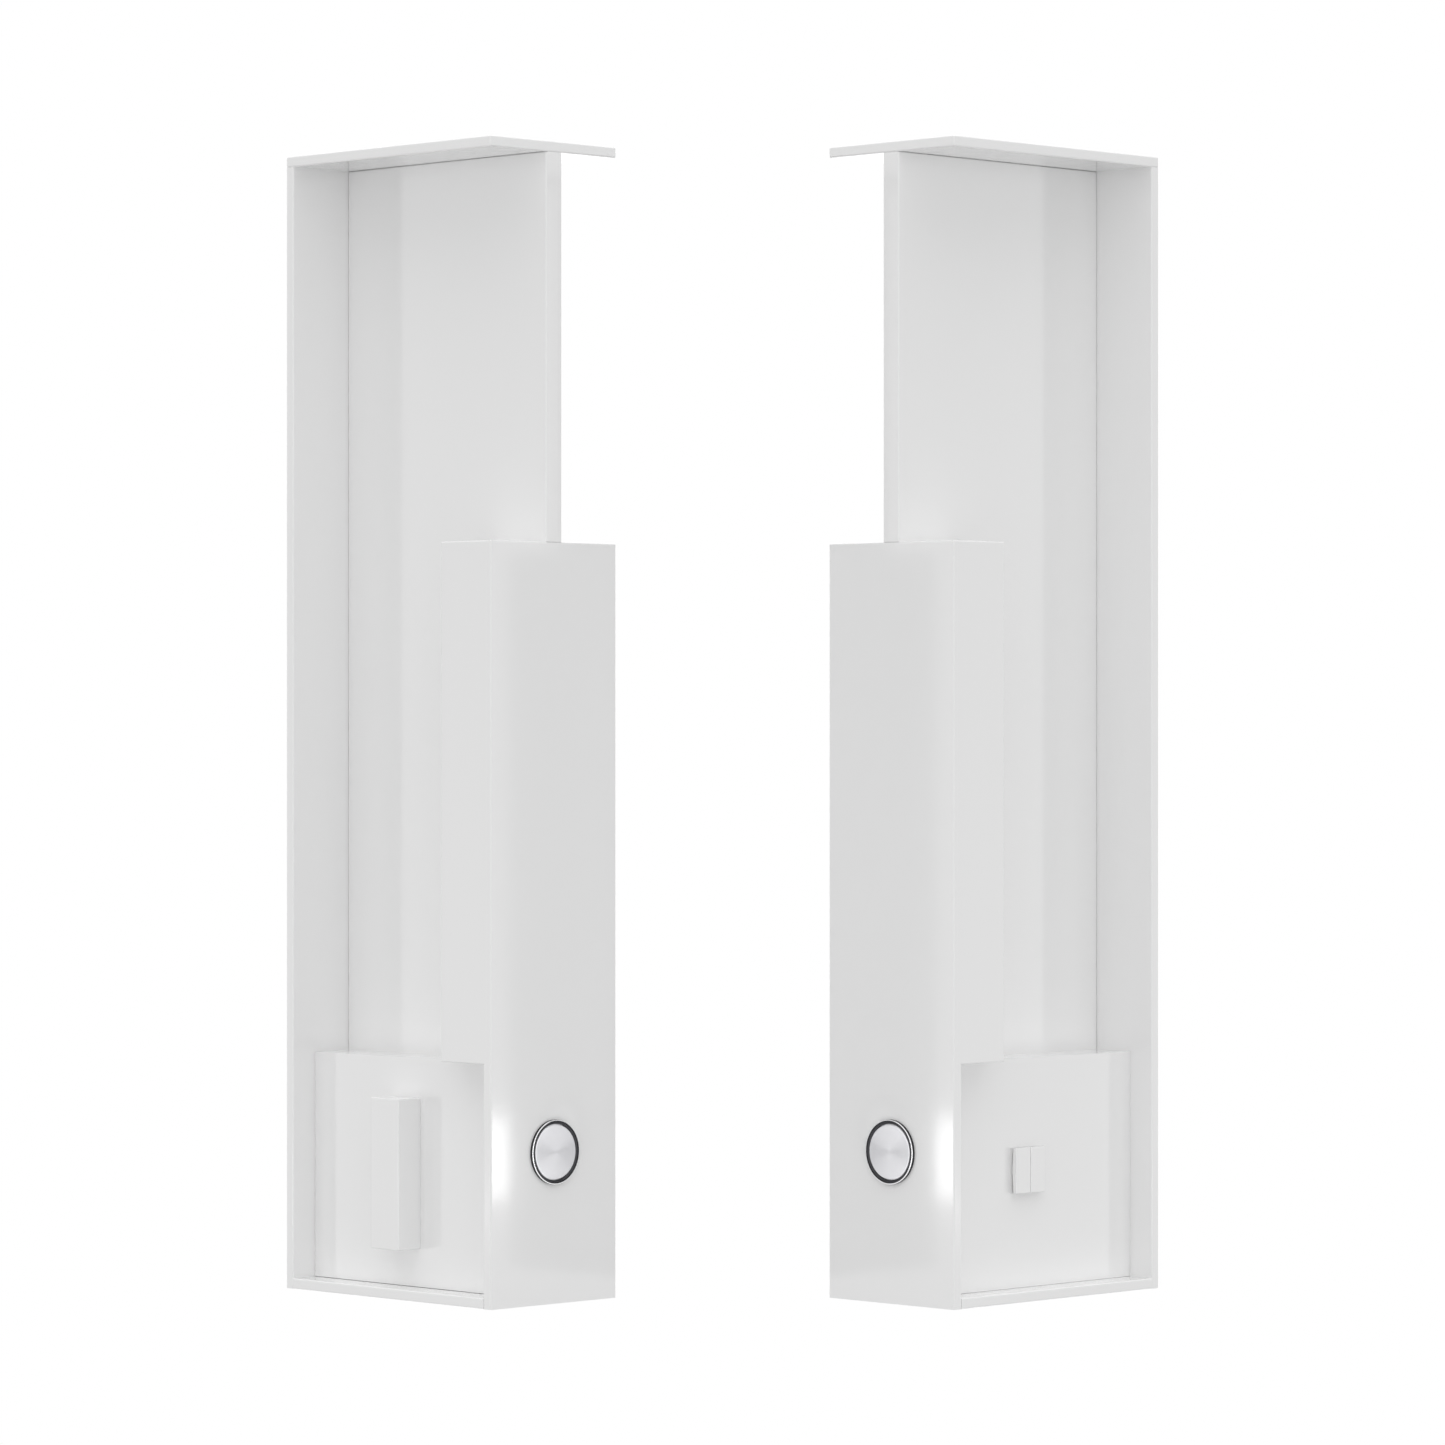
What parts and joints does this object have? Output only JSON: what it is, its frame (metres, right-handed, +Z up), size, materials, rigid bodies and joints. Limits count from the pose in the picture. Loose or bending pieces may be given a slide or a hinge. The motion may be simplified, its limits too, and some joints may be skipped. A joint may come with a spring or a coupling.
{
  "type": "security gate",
  "caption": "Pair of free-standing white gate posts with a hollow central web, a front box, a push button, a hinged service door and a rocker switch",
  "frame": {"origin": "bottom centre of the pair's bounding box, on the floor in the middle of the passage", "axes": "+X from the left post to the right post, +Y away from the viewer, from the posts' fronts to their backs, +Z up"},
  "size_m": [1.1556, 0.4382, 1.5],
  "materials": {
    "white_gloss": "high gloss lacquer",
    "white_moulding": "moulded satin",
    "bezel_metal": "polished",
    "ring_chrome": "dark polished",
    "cap_steel": "radially brushed",
    "hardware_steel": "zinc plated",
    "black_plastic": "moulded",
    "spacer_nylon": "moulded",
    "supply_case": "powder coated",
    "circuit_board": "solder mask",
    "coil_copper": "taped winding",
    "lead_sheath": "matte"
  },
  "bodies": {
    "left_post": {"left_back_panel": "white_gloss", "left_top_plate": "white_gloss", "left_base_plate": "white_gloss", "left_front_cover": "white_gloss", "left_box_back": "white_gloss", "left_web_tray": "white_gloss", "left_web_cover": "white_gloss", "left_antenna_coil": "coil_copper", "left_shelf": "white_gloss", "left_side_cover": "white_gloss", "left_hinge_pins": "hardware_steel", "left_door_magnet": "hardware_steel", "left_switch_frame": "white_moulding", "left_button_bezel": "bezel_metal", "left_button_ring": "ring_chrome", "left_button_nut": "black_plastic", "left_contact_block": "black_plastic", "left_power_supply": "supply_case", "left_controller_board": "circuit_board", "left_board_spacers": "spacer_nylon", "left_sounder": "black_plastic", "left_leads": "lead_sheath", "left_brackets": "hardware_steel", "left_screws": "hardware_steel"},
    "left_button": {"left_button_cap": "cap_steel", "left_button_spring": "hardware_steel"},
    "left_door": {"left_service_door": "white_gloss", "left_door_pull": "white_gloss"},
    "left_rocker_front": {"left_rocker_front": "white_gloss"},
    "left_rocker_rear": {"left_rocker_rear": "white_gloss"},
    "right_post": {"right_back_panel": "white_gloss", "right_top_plate": "white_gloss", "right_base_plate": "white_gloss", "right_front_cover": "white_gloss", "right_box_back": "white_gloss", "right_web_tray": "white_gloss", "right_web_cover": "white_gloss", "right_antenna_coil": "coil_copper", "right_shelf": "white_gloss", "right_side_cover": "white_gloss", "right_hinge_pins": "hardware_steel", "right_door_magnet": "hardware_steel", "right_switch_frame": "white_moulding", "right_button_bezel": "bezel_metal", "right_button_ring": "ring_chrome", "right_button_nut": "black_plastic", "right_contact_block": "black_plastic", "right_power_supply": "supply_case", "right_controller_board": "circuit_board", "right_board_spacers": "spacer_nylon", "right_sounder": "black_plastic", "right_leads": "lead_sheath", "right_brackets": "hardware_steel", "right_screws": "hardware_steel"},
    "right_button": {"right_button_cap": "cap_steel", "right_button_spring": "hardware_steel"},
    "right_door": {"right_service_door": "white_gloss", "right_door_pull": "white_gloss"},
    "right_rocker_front": {"right_rocker_front": "white_gloss"},
    "right_rocker_rear": {"right_rocker_rear": "white_gloss"}
  },
  "joints": [
    {"name": "left_button_press", "type": "slide", "parent": "left_post", "child": "left_button", "axis": [-0.7071, 0.7071, 0], "range_m": [0, 0.004], "stiffness_N_per_m": 600, "springref_m": -0.002},
    {"name": "left_door_swing", "type": "hinge", "parent": "left_post", "child": "left_door", "pos_m": [-0.27906, -0.17296, 0.1635], "axis": [0, 0, 1], "range_deg": [0, 90]},
    {"name": "left_rocker_front_tilt", "type": "hinge", "parent": "left_post", "child": "left_rocker_front", "pos_m": [-0.27712, 0.02931, 0.1675], "axis": [-0.7071, 0.7071, 0], "range_deg": [-4, 4], "stiffness_Nm_per_rad": 0.2},
    {"name": "left_rocker_rear_tilt", "type": "hinge", "parent": "left_post", "child": "left_rocker_rear", "pos_m": [-0.29755, 0.04974, 0.1675], "axis": [-0.7071, 0.7071, 0], "range_deg": [-4, 4], "stiffness_Nm_per_rad": 0.2},
    {"name": "right_button_press", "type": "slide", "parent": "right_post", "child": "right_button", "axis": [0.7071, 0.7071, 0], "range_m": [0, 0.004], "stiffness_N_per_m": 600, "springref_m": -0.002},
    {"name": "right_door_swing", "type": "hinge", "parent": "right_post", "child": "right_door", "pos_m": [0.18572, -0.07962, 0.1635], "axis": [0, 0, 1], "range_deg": [0, 90]},
    {"name": "right_rocker_front_tilt", "type": "hinge", "parent": "right_post", "child": "right_rocker_front", "pos_m": [0.38799, -0.08156, 0.1675], "axis": [0.7071, 0.7071, 0], "range_deg": [-4, 4], "stiffness_Nm_per_rad": 0.2},
    {"name": "right_rocker_rear_tilt", "type": "hinge", "parent": "right_post", "child": "right_rocker_rear", "pos_m": [0.40843, -0.06113, 0.1675], "axis": [0.7071, 0.7071, 0], "range_deg": [-4, 4], "stiffness_Nm_per_rad": 0.2},
    {"name": "passage_width", "type": "slide", "parent": "left_post", "child": "right_post", "axis": [1, 0, 0], "range_m": [0, 0.6]}
  ]
}
